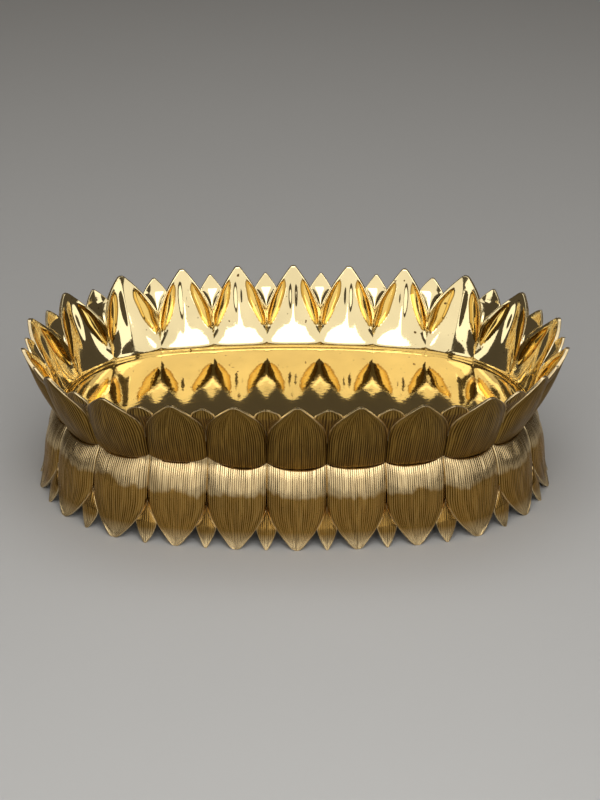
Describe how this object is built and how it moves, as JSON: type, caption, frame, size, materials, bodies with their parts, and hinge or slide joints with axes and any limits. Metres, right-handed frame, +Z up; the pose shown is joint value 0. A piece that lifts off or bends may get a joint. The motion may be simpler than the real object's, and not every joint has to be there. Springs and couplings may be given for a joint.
{
  "type": "urli bowl",
  "caption": "Oval brass urli basin with an upper and a lower row of chased lotus petals, large and small by turns, standing on the tips of the lower row.",
  "frame": {"origin": "centre of the footprint, on the surface that the bowl stands on", "axes": "+X along the bowl's length, +Z up, -Y the side with a petal at its middle that faces the viewer"},
  "size_m": [0.6024, 0.382, 0.173],
  "materials": {
    "upper_brass": "antique brass, chased outside and polished inside",
    "lower_brass": "chased brass with a worn golden patina",
    "floor_brass": "mirror polished brass with fine pits",
    "bar_brass": "plain brushed brass"
  },
  "bodies": {
    "root": {"floor_plate": "floor_brass", "waist_bar": "bar_brass", "upper_petal_01": "upper_brass", "upper_petal_02": "upper_brass", "upper_petal_03": "upper_brass", "upper_petal_04": "upper_brass", "upper_petal_05": "upper_brass", "upper_petal_06": "upper_brass", "upper_petal_07": "upper_brass", "upper_petal_08": "upper_brass", "upper_petal_09": "upper_brass", "upper_petal_10": "upper_brass", "upper_petal_11": "upper_brass", "upper_petal_12": "upper_brass", "upper_petal_13": "upper_brass", "upper_petal_14": "upper_brass", "upper_petal_15": "upper_brass", "upper_petal_16": "upper_brass", "upper_petal_17": "upper_brass", "upper_petal_18": "upper_brass", "upper_petal_19": "upper_brass", "upper_petal_20": "upper_brass", "upper_petal_21": "upper_brass", "upper_petal_22": "upper_brass", "lower_petal_01": "lower_brass", "lower_petal_02": "lower_brass", "lower_petal_03": "lower_brass", "lower_petal_04": "lower_brass", "lower_petal_05": "lower_brass", "lower_petal_06": "lower_brass", "lower_petal_07": "lower_brass", "lower_petal_08": "lower_brass", "lower_petal_09": "lower_brass", "lower_petal_10": "lower_brass", "lower_petal_11": "lower_brass", "lower_petal_12": "lower_brass", "lower_petal_13": "lower_brass", "lower_petal_14": "lower_brass", "lower_petal_15": "lower_brass", "lower_petal_16": "lower_brass", "lower_petal_17": "lower_brass", "lower_petal_18": "lower_brass", "lower_petal_19": "lower_brass", "lower_petal_20": "lower_brass", "lower_petal_21": "lower_brass", "lower_petal_22": "lower_brass", "small_upper_petals_front": "upper_brass", "small_upper_petals_right": "upper_brass", "small_upper_petals_back": "upper_brass", "small_upper_petals_left": "upper_brass", "small_lower_petals_front": "lower_brass", "small_lower_petals_right": "lower_brass", "small_lower_petals_back": "lower_brass", "small_lower_petals_left": "lower_brass"}
  },
  "joints": []
}
